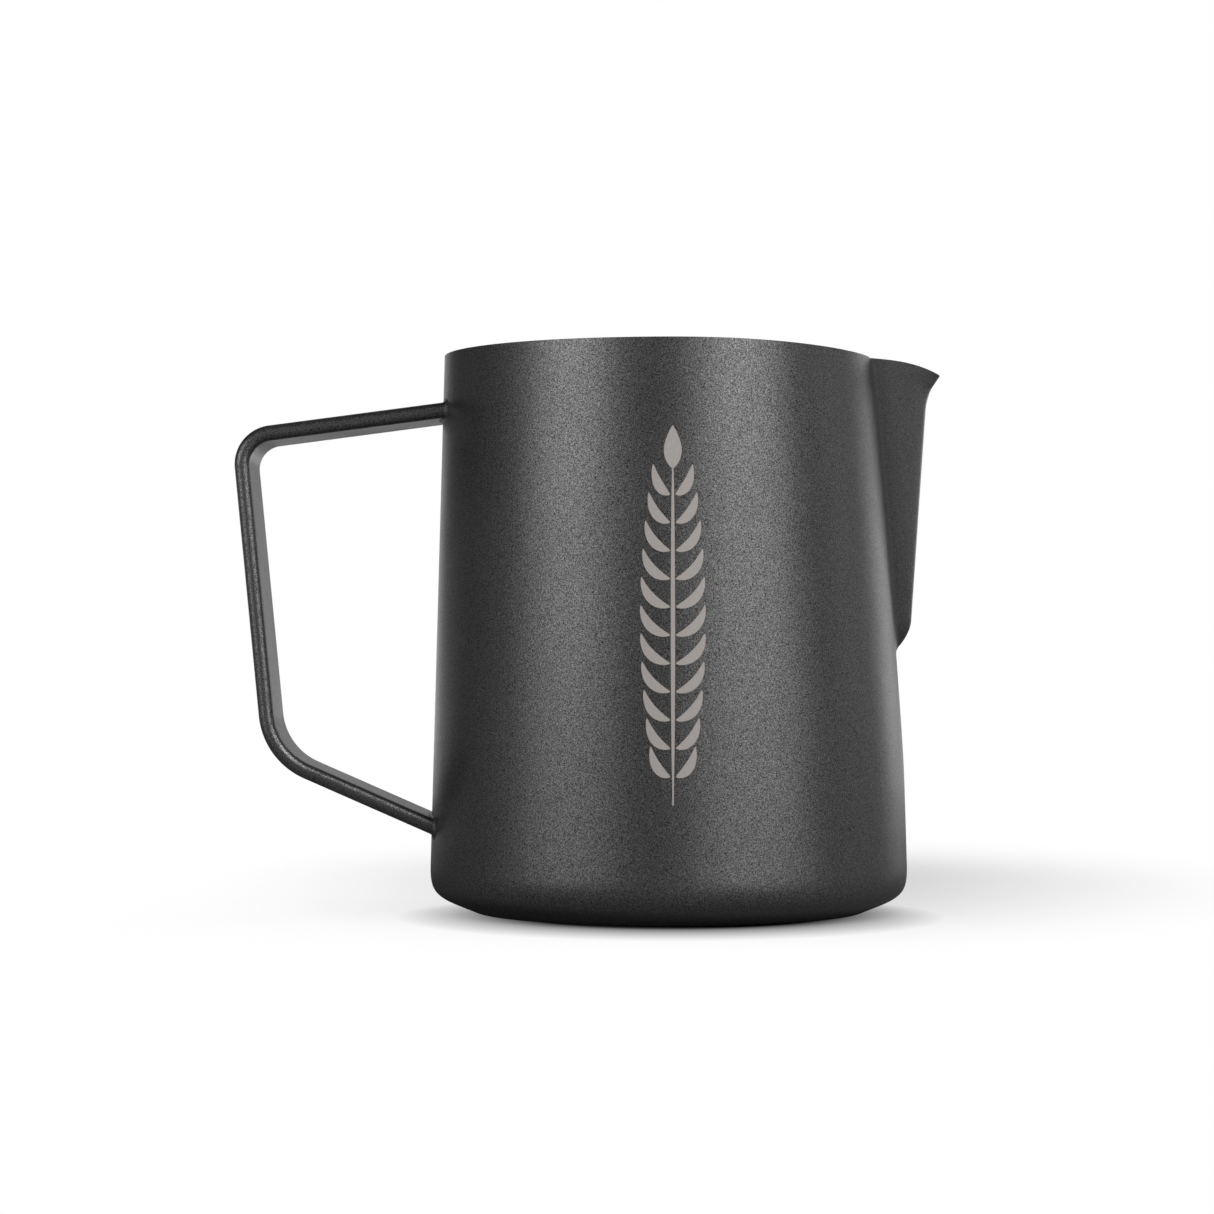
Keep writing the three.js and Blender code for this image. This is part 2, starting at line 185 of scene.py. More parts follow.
COATING_IOR = 2.2
NOISE_LOW, NOISE_MIDDLE, NOISE_HIGH = 0.3, 0.5, 0.7
PIT_SHADE = 0.75
PEAK_SHADE = 1.5
PEAK_GLINT = 1.4
DRIFT_SIZE = 18.0
DRIFT_GLOSS = 0.02
ETCHED_GREY = (0.6, 0.55, 0.515, 1)
ETCHED_ROUGHNESS = 0.75
ETCHED_GRAIN = 0.25
ETCHED_SHADES = (0.92, 1.08)

# ---- camera, light and floor, metres ----

CAMERA_DISTANCE = 0.62756
CAMERA_X = -0.01143
CAMERA_Z = 0.0481
CAMERA_PITCH = math.radians(0.764)
CAMERA_LENS = 100.0
CAMERA_SENSOR = 36.0
LIGHT_DISTANCE = 1.0
ROOM_GREY = 0.007
FLOOR_HALF_SIDE = 8.0
FLOOR_ROUGHNESS = 0.9
FLOOR_SHEEN = 0.1
NEAR_FLOOR_SHADED_GREY = 0.25
FAR_FLOOR_GREY = 0.9
FLOOR_GREY_FROM, FLOOR_GREY_TO = 0.1, 1.2
SWEEP_FROM, SWEEP_TO = 0.3, 0.8
SWEEP_GLOW = 0.9
SHADOW_REACH = 0.12
SHADOW_CLEARS = 0.88
SKY_SHADOW = 0.2
SHADOWS_FADE_FROM, SHADOWS_FADE_TO = 0.11, 0.3
FOOT_SHADOW_CENTRE = (0.0, -0.012)
FOOT_SHADOW_RADII = (0.05, 0.054)
FOOT_SHADOW_CORE = 0.52
FOOT_SHADOW = 0.75
POOL_CENTRE = (0.018, 0.1)
POOL_RADII = (0.12, 0.19)
POOL_SHADOW = 0.4

# Soft boxes: name, azimuth, width, low edge and high edge in degrees, radiance.
# Azimuth 0 is on the camera's side, 90 on the spout's side and -90 on the handle's side.
SOFT_BOXES = (
    ("left_box", -50, 30, 10, 25, 3.07),
    ("left_fill", -50, 50, 0, 25, 0.68),
    ("right_box", 40, 46, 25, 50, 4.12),
    ("right_fill", 40, 50, 0, 25, 1.36),
    ("spout_side_wall", 100, 20, 0, 40, 0.38),
    ("back_wall_right", 140, 20, 0, 40, 1.35),
    ("back_wall_left", -162, 20, 0, 40, 1.05),
    ("handle_side_wall", -90, 20, 0, 40, 0.1),
    ("back_wall", 175, 30, 0, 40, 0.55),
)


# ---- mesh helpers ----


def add_to_scene(name, data):
    obj = bpy.data.objects.new(name, data)
    bpy.context.scene.collection.objects.link(obj)
    return obj


def make_object(name, vertices, faces, material, closed=False, from_seam=None):
    """A mesh object from vertices in mm. Vertices in the same place become one, and a closed body keeps crisp
    edges. from_seam is each vertex's distance in mm from the seam, for the painted shade beside it."""
    mesh = bpy.data.meshes.new(name)
    mesh.from_pydata([tuple(v) for v in np.asarray(vertices) * MM], [], faces)
    if from_seam is not None:
        mesh.attributes.new(SEAM_DISTANCE, "FLOAT", "POINT").data.foreach_set("value", np.ravel(from_seam))
    bm = bmesh.new()
    bm.from_mesh(mesh)
    bmesh.ops.remove_doubles(bm, verts=bm.verts, dist=MERGE_DISTANCE * MM)
    bmesh.ops.dissolve_degenerate(bm, edges=bm.edges, dist=SHORTEST_EDGE * MM)
    if closed:
        bmesh.ops.recalc_face_normals(bm, faces=bm.faces)
    bm.to_mesh(mesh)
    bm.free()
    obj = add_to_scene(name, mesh)
    mesh.materials.append(material)
    mesh.shade_smooth()
    if closed:
        mesh.set_sharp_from_angle(angle=CRISP_ANGLE)
    return obj


def grid_faces(rows, columns, closed=False, flip=False, start=0):
    """Quads over a grid of points stored row by row. closed joins the last column to the first."""
    faces = []
    for i in range(rows - 1):
        for j in range(columns if closed else columns - 1):
            k = (j + 1) % columns
            quad = [start + i * columns + j, start + i * columns + k]
            quad += [start + (i + 1) * columns + k, start + (i + 1) * columns + j]
            faces.append(quad[::-1] if flip else quad)
    return faces


def tube_faces(rows, columns):
    """Quads over a stack of closed rings, with a face over each end."""
    faces = grid_faces(rows, columns, closed=True)
    faces.append(list(range(columns))[::-1])
    faces.append([(rows - 1) * columns + j for j in range(columns)])
    return faces


def curve_between(start, corner, end, steps=13):
    """A curve from start to end that leaves towards the corner and arrives from it."""
    s = np.linspace(0, 1, steps)[:, None]
    return (1 - s) ** 2 * start + 2 * s * (1 - s) * corner + s**2 * end


def thicken(obj):
    """Gives a skin its sheet's thickness, inwards."""
    solid = obj.modifiers.new("sheet", "SOLIDIFY")
    solid.thickness = SHEET * MM
    solid.offset = -1
    return obj


def round_edges(obj):
    """Rounds a sheet's cut edges."""
    edge = obj.modifiers.new("edge", "BEVEL")
    edge.width = RIM_ROUNDING * MM
    edge.segments = RIM_SEGMENTS
    edge.limit_method = "ANGLE"
    edge.angle_limit = RIM_ANGLE
    edge.use_clamp_overlap = True
    edge.harden_normals = True
    return obj


# ---- the wall's shape ----


def cone_radius(z):
    """The turned cup's outside radius, before it is drawn in beside the spout."""
    return WALL_RADIUS_AT_FOOT - WALL_TAPER * z


def wall_radius(z, azimuth):
    """The wall is drawn in beside the spout: deeper with height, and less with the angle from the spout."""
    rise = z - PINCH_HEIGHT
    depth = PINCH_SLOPE / 2 * (rise + np.hypot(rise, PINCH_SOFTNESS))
    turn = np.clip(np.abs(azimuth) / PINCH_HALF_ANGLE, 0, 1)
    return cone_radius(z) - depth * (1 - turn**2) ** 1.5


def wall_x(y, z):
    """x of the wall's outside at a distance y from the spout's middle plane and a height z."""
    radius = cone_radius(z)
    for _ in range(WALL_PASSES):
        radius = wall_radius(z, np.arcsin(y / radius))
    return np.sqrt(radius**2 - y**2)


def droop(x, z):
    """How far the rim sinks towards the spout."""
    return DROOP * (np.maximum(x, 0) / DROOP_REACH) ** 2 * (z / HEIGHT) ** 4


def form_wall(x, y, z):
    """Draws a turned cup in beside the spout and lets its rim droop there."""
    azimuth = np.arctan2(y, x)
    share = wall_radius(z, azimuth) / cone_radius(z)
    return np.stack([x * share, y * share, z - droop(x * share, z)], axis=-1)


def drooped_wall_x(y, z):
    """x of the drooped wall's outside at a distance y from the middle plane and a height z."""
    before = z
    for _ in range(WALL_PASSES):
        x = wall_x(y, before)
        before = z + droop(x, before)
    return x


# ---- the spout's shape ----


def nose_share(z):
    """0 at the spout's lower end, rising to 1 at the top of its nose."""
    return np.clip((z - SPOUT_BOTTOM) / NOSE_HEIGHT, 0, 1)


def spout_half_width(z):
    """Half the spout's width between its creases: round at the nose, then widening, and flared at the rim."""
    rounded = np.sqrt(1 - (1 - nose_share(z)) ** 2)
    flare = np.maximum(0, (z - SPOUT_SHOULDER + FLARE_HEIGHT) / FLARE_HEIGHT) ** 2
    return (HALF_WIDTH_LOW + HALF_WIDTH_SLOPE * (z - SPOUT_BOTTOM)) * rounded + HALF_WIDTH_FLARE * flare


def ridge_x(z):
    """x of the ridge below the beak: a nose at the lower end and a straight lean."""
    nose = (1 - (1 - nose_share(z)) ** 2) ** NOSE_POWER
    straight = RIDGE_X + RIDGE_LEAN * (z - RIDGE_FOOT_Z)
    wall = drooped_wall_x(0.0, z)
    return wall + (straight - wall) * nose


def past_kink(z):
    """How far a height is past the beak's kink, with the kink a little softened."""
    past = z - KINK_Z
    return (past + np.hypot(past, KINK_SOFTNESS)) / 2


def beak_reach(z):
    """How far the beak stands out from the ridge's straight lean: a gentle flare, then a kink to the tip."""
    flare = np.clip((z - FLARE_START_Z) / (KINK_Z - FLARE_START_Z), 0, 1) ** 2
    reach = TIP_X - RIDGE_FLARE - ridge_x(TIP_Z)
    return RIDGE_FLARE * flare + reach * past_kink(z) / past_kink(TIP_Z)


def spout_point(side, rise):
    """The spout's outside. side runs -1 to 1 from seam to seam, and rise 0 to 1 from the nose to the lip."""
    seam_z = SPOUT_BOTTOM + SPOUT_SPAN * rise
    ridge_z = SPOUT_BOTTOM + (TIP_Z - SPOUT_BOTTOM) * rise
    half_width = spout_half_width(seam_z)
    rounding = RIDGE_ROUNDING + (LIP_ROUNDING - RIDGE_ROUNDING) * rise**4
    rounding = np.maximum(rounding * np.minimum(1, half_width / SLIM_HALF_WIDTH), 1e-6)
    y = half_width * side
    fold = np.hypot(half_width, rounding) - rounding
    to_seam = np.clip((np.hypot(y, rounding) - rounding) / np.maximum(fold, 1e-9), 0, 1)
    ridge = ridge_x(ridge_z)
    x = ridge + (drooped_wall_x(half_width, seam_z) - ridge) * to_seam
    x = x + beak_reach(ridge_z) * (1 - to_seam) ** BEAK_FADE
    z = seam_z + (ridge_z - seam_z) * (1 - to_seam) ** LIP_SAG_POWER
    return np.stack([x, y, z], axis=-1)


def spout_normal(side, rise, step=1e-4):
    """The spout's outward normal."""
    across = spout_point(side, rise) - spout_point(side - step, rise)
    up = spout_point(side, rise) - spout_point(side, rise - step)
    normal = np.cross(across, up)
    return normal / np.linalg.norm(normal, axis=-1, keepdims=True)


def crease_heights():
    """Heights up the crease in two runs: round the nose, closest at its foot, then evenly up to the rim."""
    nose = SPOUT_BOTTOM + NOSE_HEIGHT * (1 - np.cos(np.linspace(0, math.pi / 2, NOSE_ROWS)))
    straight = np.linspace(SPOUT_BOTTOM + NOSE_HEIGHT, SPOUT_SHOULDER - RIM_ROUNDING, CREASE_ROWS)[1:]
    return nose, straight


# ---- cup ----


def cup_outline():
    """The cup's outside from the middle of the foot to the rim, as radius and height."""
    fall = np.array([math.cos(CHAMFER_ANGLE), math.sin(CHAMFER_ANGLE)])
    foot = np.array([FOOT_RADIUS, 0.0])
    corner = foot + fall * (cone_radius(0) - FOOT_RADIUS) / (fall[0] + WALL_TAPER * fall[1])
    up = np.array([-WALL_TAPER, 1.0]) / math.hypot(1, WALL_TAPER)
    points = [(radius, 0.0) for radius in FOOT_RINGS]
    for t in np.linspace(0, 1, GROOVE_STEPS):
        radius = GROOVE_RADIUS + (t - 0.5) * GROOVE_WIDTH
        points.append((radius, GROOVE_DEPTH * math.sin(math.pi * t) ** 2))
    # The foot's edge is a small round between the flat and the chamfer.
    edge = FOOT_EDGE * math.tan(CHAMFER_ANGLE / 2) * 2
    flat_end = np.array([FOOT_RADIUS - edge, 0])
    points += [tuple(point) for point in curve_between(flat_end, foot, foot + fall * edge, FOOT_EDGE_STEPS)]
    # The bottom corner bends slowly at its ends and most in its middle.
    knots = np.array([corner - fall * CORNER_REACH, corner, corner + up * CORNER_REACH])
    for t in np.linspace(0, 1, CORNER_STEPS):
        shares = np.array([(1 - t) ** 2, 2 * CORNER_FULLNESS * t * (1 - t), t**2])
        points.append(tuple(shares @ knots / shares.sum()))
    # Up the wall the rows are closest just above the spout's lower end, where the notch is round.
    heights = np.concatenate([
        np.linspace(points[-1][1], SPOUT_BOTTOM, ROWS_BELOW_NOSE)[1:],
        SPOUT_BOTTOM + NOSE_BAND * np.linspace(0, 1, ROWS_BESIDE_NOSE)[1:] ** 2,
        np.linspace(SPOUT_BOTTOM + NOSE_BAND, HEIGHT, ROWS_ABOVE_NOSE)[1:],
    ])
    points += [(cone_radius(z), z) for z in heights]
    return np.array(points)


def build_cup(material):
    """The turned cup with a notch for the spout, formed beside it and given the sheet's thickness."""
    outline = cup_outline()
    share = np.linspace(0, 1, CUP_COLUMNS + 1)
    rows = []
    for radius, z in outline:
        notch = float(spout_half_width(z)) if z > SPOUT_BOTTOM else 0.0
        azimuth = math.atan2(notch, wall_x(notch, z))
        turn = azimuth + (2 * math.pi - 2 * azimuth) * share
        rows.append(form_wall(radius * np.cos(turn), radius * np.sin(turn), np.full(turn.shape, z)))
    faces = grid_faces(len(rows), CUP_COLUMNS + 1)
    return round_edges(thicken(make_object("cup_shell", np.concatenate(rows), faces, material)))


# ---- spout ----


def build_spout(material):
    """The pressed sheet: its outside, and its inside a sheet's thickness behind, trimmed at the lip."""
    nose, straight = crease_heights()
    near_lip = SPOUT_SHOULDER - LIP_BAND * np.linspace(1, 0, LIP_ROWS)[1:] ** 1.5
    heights = np.unique(np.round(np.concatenate([nose[NOSE_ROWS_SKIPPED:], straight, near_lip]), 6))
    rise = ((heights - SPOUT_BOTTOM) / SPOUT_SPAN)[:, None]
    side = np.sin(np.linspace(-math.pi / 2, math.pi / 2, SPOUT_COLUMNS))[None, :]
    rise, side = np.broadcast_arrays(rise, side)
    outside = spout_point(side, rise)
    # The seam's own edge has a fold on one side only, so the normal there is taken just inside it.
    inside = outside - spout_normal(np.clip(side, -0.999, 0.999), rise) * SHEET
    spare = np.maximum(inside[-1, :, 2] - outside[-1, :, 2] - LIP_TRIM, 0)
    share = np.clip(1 - (outside[-1:, :, 2] - outside[:, :, 2]) / LIP_TRIM_REACH, 0, 1)
    up = outside[-1] - outside[-2]
    inside = inside - up / up[:, 2:] * (spare * share)[..., None]
    rows, columns = side.shape
    count = rows * columns
    faces = grid_faces(rows, columns) + grid_faces(rows, columns, flip=True, start=count)
    # A strip of quads joins the outside to the inside all round the border.
    border = [j for j in range(columns)] + [i * columns + columns - 1 for i in range(1, rows)]
    border += [(rows - 1) * columns + j for j in range(columns - 2, -1, -1)]
    border += [i * columns for i in range(rows - 2, 0, -1)]
    for a, b in zip(border, border[1:] + border[:1]):
        faces.append([b, a, count + a, count + b])
    points = np.concatenate([outside.reshape(-1, 3), inside.reshape(-1, 3)])
    # Distances from the seam, for the painted shade in the crease
    from_seam = (1 - np.abs(side)) * spout_half_width(heights)[:, None]
    from_seam = np.concatenate([from_seam, from_seam])
    return round_edges(make_object("spout_shell", points, faces, material, closed=True, from_seam=from_seam))


def on_spout(y, z):
    """The side and rise of the spout's outside at a distance y from the middle plane and a height z."""
    rise = (z - SPOUT_BOTTOM) / SPOUT_SPAN
    for _ in range(SPOUT_PASSES):
        side = min(y / float(spout_half_width(SPOUT_BOTTOM + SPOUT_SPAN * rise)), 1.0)
        rise += (z - float(spout_point(np.array(side), np.array(rise))[2])) / SPOUT_SPAN
    return side, rise


def seam_ring(z, inset):
    """A section through the dressed seam: hollow outside, flush inside, drawn in all round by inset."""
    half_width = float(spout_half_width(z))
    # out points away from the spout and square to the crease, as (y, z). Above the nose it turns level.
    low = max(z - SLOPE_STEP, SPOUT_BOTTOM)
    high = z + SLOPE_STEP
    lean = (float(spout_half_width(high)) - float(spout_half_width(low))) / (high - low)
    out = np.array([1.0, -lean]) / math.hypot(1, lean) if z > SPOUT_BOTTOM else np.array([0.0, -1.0])
    level = float(np.clip((z - SPOUT_BOTTOM - NOSE_HEIGHT) / NOSE_HEIGHT, 0, 1))
    if level > 0:
        out = out * (1 - level) + np.array([1 / out[0], 0]) * level
    wall_y, wall_z = np.array([half_width, z]) + out * SEAM_ON_WALL
    on_wall = np.array([float(drooped_wall_x(wall_y, wall_z)), wall_y, wall_z])
    near_y, near_z = np.array([half_width, z]) - out * SEAM_ON_SPOUT
    side, near_rise = on_spout(max(near_y, 0.0), near_z) if level < 1 else (0, 0)
    straight_side = 1 - SEAM_ON_SPOUT / max(half_width, SEAM_ON_SPOUT)
    side = side * (1 - level) + straight_side * level
    near_rise = near_rise * (1 - level) + (z - SPOUT_BOTTOM) / SPOUT_SPAN * level
    on_flank = spout_point(np.array(side), np.array(near_rise))
    flank_normal = spout_normal(np.array(side), np.array(near_rise))
    wall_normal = np.array([on_wall[0], on_wall[1], 0]) / math.hypot(on_wall[0], on_wall[1])
    corner = np.array([float(drooped_wall_x(half_width, z)), half_width, z])
    middle_normal = wall_normal + flank_normal
    middle_normal /= np.linalg.norm(middle_normal)
    outside = curve_between(on_wall, corner, on_flank)
    normals = curve_between(wall_normal, middle_normal, flank_normal)
    inside = outside - normals * (SHEET + SEAM_PROUD - inset)
    outside = outside + normals * (SEAM_PROUD - inset)
    return np.concatenate([outside, inside[::-1]])


def seam_ring_distances(count):
    """How far each point of a seam's section is from the crease, for the painted shade there. The wall's side
    is stretched, so that the painted shade has faded out at its edge on the wall."""
    s = np.linspace(0, 1, count // 2)
    outside = np.where(s < 0.5, (1 - 2 * s) * SEAM_SHADE_REACH, (2 * s - 1) * SEAM_ON_SPOUT)
    return np.concatenate([outside, outside[::-1]])


def build_seam(material):
    """The dressed seam, from the rim down one side of the spout, round its nose and up the other side."""
    half = [seam_ring(z, 0.0) for z in np.concatenate(crease_heights())]
    for angle in np.linspace(0, math.pi / 2, SEAM_RIM_STEPS)[1:]:
        height = SPOUT_SHOULDER - RIM_ROUNDING * (1 - math.sin(angle))
        half.append(seam_ring(height, RIM_ROUNDING * (1 - math.cos(angle))))
    other = [ring * np.array([1, -1, 1]) for ring in half[:0:-1]]
    rings = other + half
    count = len(half[0])
    faces = tube_faces(len(rings), count)
    from_seam = np.tile(seam_ring_distances(count), len(rings))
    return make_object("spout_seam", np.concatenate(rings), faces, material, closed=True, from_seam=from_seam)


# ---- handle ----


def direction(angle):
    return np.array([math.cos(angle), math.sin(angle)])


def crossing(point_a, along_a, point_b, along_b):
    """Where two lines in a plane cross."""
    step = np.linalg.solve(np.array([along_a, -along_b]).T, point_b - point_a)
    return point_a + along_a * step[0]


# The grip's direction from its upper corner to its lower one, and which way each straight part's outside is
GRIP = (LOWER_CORNER - UPPER_CORNER) / np.linalg.norm(LOWER_CORNER - UPPER_CORNER)
GRIP_OUT = math.atan2(GRIP[1], GRIP[0]) + 1.5 * math.pi
UPPER_OUT = UPPER_RISE + math.pi / 2
LOWER_OUT = 1.5 * math.pi - LOWER_FALL


def bend_centre(corner, bar_out, radius):
    """The centre of a bend whose outside touches the grip's line and a bar's line, crossing at the corner."""
    bar_line = corner - direction(bar_out) * radius
    grip_line = corner - direction(GRIP_OUT) * radius
    return crossing(grip_line, GRIP, bar_line, direction(bar_out + math.pi / 2))


def meet_cup(x, y, z, along, inset):
    """How far points go along a direction, given as (x, z), to reach the cup's plain cone less an inset."""
    step = np.zeros_like(np.asarray(x, float))
    for _ in range(CONE_PASSES):
        px, pz = x + step * along[0], z + step * along[1]
        radius = np.hypot(px, y)
        slope = px / radius * along[0] + WALL_TAPER * along[1]
        step = step - (radius - (cone_radius(pz) - inset)) / slope
    return step


def slide_to_cup(ring, along, inset=0.0, lift=0.0):
    """A ring of points moved along a direction to the cup's cone less an inset, stopping short by lift."""
    reach = meet_cup(ring[:, 0], ring[:, 1], ring[:, 2], along, inset) - lift
    return ring + np.stack([along[0] * reach, 0 * reach, along[1] * reach], axis=-1)


def strap_section(grow=0.0):
    """The strap's section as (across, out), a flat bar with round edges, grown by a distance."""
    half_width, half_thick = STRAP_WIDTH / 2 + grow, STRAP_THICKNESS / 2 + grow
    radius = STRAP_EDGE + grow
    points = []
    for k, (sa, so) in enumerate([(1, 1), (-1, 1), (-1, -1), (1, -1)]):
        centre = np.array([sa * (half_width - radius), so * (half_thick - radius)])
        for t in np.linspace(0, 1, STRAP_EDGE_STEPS):
            angle = (k + t) * math.pi / 2
            points.append(centre + radius * direction(angle))
        # Points along the flat faces, so that they follow the wall's curve where the strap ends
        if k in (0, 2):
            far = centre * np.array([-1, 1]) + np.array([0, so * radius])
            near = points[-1]
            points += [near + (far - near) * s for s in np.linspace(0, 1, STRAP_FACE_STEPS)[1:-1]]
    return np.array(points)


def section_at(section, point, facing):
    """A section placed at a point (x, z), with its outside facing a direction (x, z)."""
    return np.stack([
        point[0] + section[:, 1] * facing[0],
        section[:, 0],
        point[1] + section[:, 1] * facing[1],
    ], axis=-1)


def strap_path():
    """The middle line of the strap as (x, z) points with the direction that faces out of each."""
    upper = bend_centre(UPPER_CORNER, UPPER_OUT, UPPER_BEND)
    lower = bend_centre(LOWER_CORNER, LOWER_OUT, LOWER_BEND)
    half = STRAP_THICKNESS / 2
    path = []
    start = upper + direction(UPPER_OUT) * (UPPER_BEND - half)
    for t in np.linspace(1, 0, UPPER_STRAIGHT_STEPS)[:-1]:
        path.append((start + direction(UPPER_RISE) * t * UPPER_STRAIGHT, UPPER_OUT))
    for t in np.linspace(0, 1, UPPER_BEND_STEPS):
        out = UPPER_OUT + (GRIP_OUT - UPPER_OUT) * t
        path.append((upper + direction(out) * (UPPER_BEND - half), out))
    for t in np.linspace(0, 1, LOWER_BEND_STEPS):
        out = GRIP_OUT + (LOWER_OUT - GRIP_OUT) * t
        path.append((lower + direction(out) * (LOWER_BEND - half), out))
    end = path[-1][0]
    for t in np.linspace(0, 1, LOWER_STRAIGHT_STEPS)[1:]:
        path.append((end + direction(-LOWER_FALL) * t * LOWER_STRAIGHT, LOWER_OUT))
    return path


def build_strap(material):
    """The bent flat bar, with both ends run on to the middle of the cup's sheet."""
    section = strap_section()
    rings = [section_at(section, point, direction(out)) for point, out in strap_path()]
    for at_start, along in ((True, direction(UPPER_RISE)), (False, direction(-LOWER_FALL))):
        last = rings[0] if at_start else rings[-1]
        offset = slide_to_cup(last, along, SHEET / 2) - last
        steps = [last + offset * t for t in np.linspace(0, 1, STRAP_END_STEPS)[1:]]
        rings = steps[::-1] + rings if at_start else rings + steps
    faces = tube_faces(len(rings), len(section))
    return make_object("handle_strap", np.concatenate(rings), faces, material, closed=True)


def build_weld(name, corner, along_angle, out_angle, material):
    """A hollow fillet of weld right round one end of the strap."""
    along = direction(along_angle)
    facing = direction(out_angle)
    middle = corner - facing * STRAP_THICKNESS / 2
    rings = []
    for t in np.linspace(0, 1, WELD_STEPS):
        grow = WELD_LEG * (1 - math.sin((1 - t) * math.pi / 2))
        lift = WELD_LEG * (1 - math.cos((1 - t) * math.pi / 2))
        ring = section_at(strap_section(grow + WELD_CLEARS_STRAP), middle, facing)
        rings.append(slide_to_cup(ring, along, lift=lift))
    sunk = [slide_to_cup(ring, along, SHEET / 2) for ring in (rings[-1], rings[0])]
    rings = rings + sunk + [rings[0]]
    faces = grid_faces(len(rings), len(rings[0]), closed=True)
    return make_object(name, np.concatenate(rings), faces, material, closed=True)


# ---- etched leaf ----


def on_cone(across, z, lift):
    """A point of the wall on the camera's side, at a distance across and a height, lifted off the coating."""
    turn = across / cone_radius(z) - math.pi / 2
    radius = cone_radius(z) + lift
    return np.stack([radius * np.cos(turn), radius * np.sin(turn), z], axis=-1)


def blade(path, half_widths):
    """A thin closed blade along a path of (across, z) points, as vertices and faces."""
    along = np.gradient(path, axis=0)
    along /= np.linalg.norm(along, axis=1, keepdims=True)
    beside = np.stack([-along[:, 1], along[:, 0]], axis=1) * half_widths[:, None]
    left, right = path + beside, path - beside
    corners = [(left, ETCH_PROUD), (right, ETCH_PROUD), (right, -ETCH_SUNK), (left, -ETCH_SUNK)]
    rings = np.stack([on_cone(edge[:, 0], edge[:, 1], lift) for edge, lift in corners], axis=1)
    return rings.reshape(-1, 3), tube_faces(len(path), len(corners))


def build_leaf(material):
    """A plain leaf of the kind poured on coffee: a stem, a bud and pairs of curved leaflets."""
    t = np.linspace(0, 1, BLADE_STEPS)
    stem = np.stack([0 * t, LEAF_LOW + (LEAF_HIGH - LEAF_STEM_END - LEAF_LOW) * t], axis=1)
    blades = [(stem, LEAF_STEM * np.sin(math.pi * np.clip(t, 0.04, 0.96)) ** 0.5)]
    bud = np.stack([0 * t, LEAF_HIGH - LEAF_BUD_LENGTH + LEAF_BUD_LENGTH * t], axis=1)
    blades.append((bud, BLADE_END + LEAF_BUD * np.sin(math.pi * t**0.8) ** 0.9))
    leaflet_widths = BLADE_END + LEAFLET * np.sin(math.pi * t**0.9) ** 0.8
    for share in np.arange(LEAF_PAIRS) / (LEAF_PAIRS - 1):
        z = LEAF_FIRST_PAIR + LEAF_PAIRS_SPAN * share
        reach = LEAF_HALF_WIDTH * (0.5 + 0.5 * math.sin(math.pi * (0.1 + 0.85 * share)) ** 0.8)
        for hand in (-1, 1):
            start = np.array([hand * LEAFLET_START, z])
            bend = np.array([hand * reach * LEAFLET_BEND, z + LEAFLET_BEND_RISE])
            end = np.array([hand * reach, z + LEAFLET_RISE])
            blades.append((curve_between(start, bend, end, BLADE_STEPS), leaflet_widths))
    vertices, faces = [], []
    for path, half_widths in blades:
        points, quads = blade(path, half_widths)
        faces += [[len(vertices) + i for i in quad] for quad in quads]
        vertices += list(points)
    return make_object("etched_leaf", vertices, faces, material, closed=True)


# ---- materials ----


def new_material(name):
    material = bpy.data.materials.new(name)
    material.use_nodes = True
    tree = material.node_tree
    return material, tree, tree.nodes["Principled BSDF"]


def add_noise(tree, size, detail=2.0, roughness=0.5):
    """A noise texture whose grain is about size millimetres."""
    place = tree.nodes.new("ShaderNodeTexCoord")
    noise = tree.nodes.new("ShaderNodeTexNoise")
    noise.inputs["Scale"].default_value = 1 / (size * MM)
    noise.inputs["Detail"].default_value = detail
    noise.inputs["Roughness"].default_value = roughness
    tree.links.new(place.outputs["Object"], noise.inputs["Vector"])
    return noise.outputs[0]


def add_ramp(tree, source, stops):
    """Greys read off a source through (position, value) stops, from the first to the last."""
    ramp = tree.nodes.new("ShaderNodeValToRGB")
    elements = ramp.color_ramp.elements
    elements[0].position, elements[1].position = stops[0][0], stops[-1][0]
    elements[0].color, elements[1].color = ((*[value] * 3, 1) for _, value in (stops[0], stops[-1]))
    for position, value in stops[1:-1]:
        elements.new(position).color = (*[value] * 3, 1)
    tree.links.new(source, ramp.inputs["Fac"])
    return ramp.outputs["Color"]


def map_range(tree, source, from_min, from_max, to_min, to_max, smooth=False):
    """A source carried from one range to another and held at its ends."""
    node = tree.nodes.new("ShaderNodeMapRange")
    node.interpolation_type = "SMOOTHSTEP" if smooth else "LINEAR"
    ends = {"From Min": from_min, "From Max": from_max, "To Min": to_min, "To Max": to_max}
    for socket, value in ends.items():
        node.inputs[socket].default_value = value
    tree.links.new(source, node.inputs["Value"])
    return node.outputs["Result"]


def combine(tree, operation, first, second):
    """A math node over two values, each a number or a socket."""
    node = tree.nodes.new("ShaderNodeMath")
    node.operation = operation
    for socket, value in zip(node.inputs, (first, second)):
        if isinstance(value, (int, float)):
            socket.default_value = value
        else:
            tree.links.new(value, socket)
    return node.outputs["Value"]


def mix_shaders(tree, share, first, second):
    mix = tree.nodes.new("ShaderNodeMixShader")
    for socket, source in zip(mix.inputs, (share, first, second)):
        tree.links.new(source, socket)
    return mix.outputs["Shader"]


def distance_from(tree, place, centre=(0, 0), radii=(1, 1)):
    """How far each point is from a centre, as a share of the radii in metres. With neither given, it is the
    distance in metres from the origin."""
    mapping = tree.nodes.new("ShaderNodeMapping")
    mapping.vector_type = "TEXTURE"
    mapping.inputs["Location"].default_value = (*centre, 0)
    mapping.inputs["Scale"].default_value = (*radii, 1)
    tree.links.new(place, mapping.inputs["Vector"])
    length = tree.nodes.new("ShaderNodeVectorMath")
    length.operation = "LENGTH"
    tree.links.new(mapping.outputs["Vector"], length.inputs[0])
    return length.outputs["Value"]


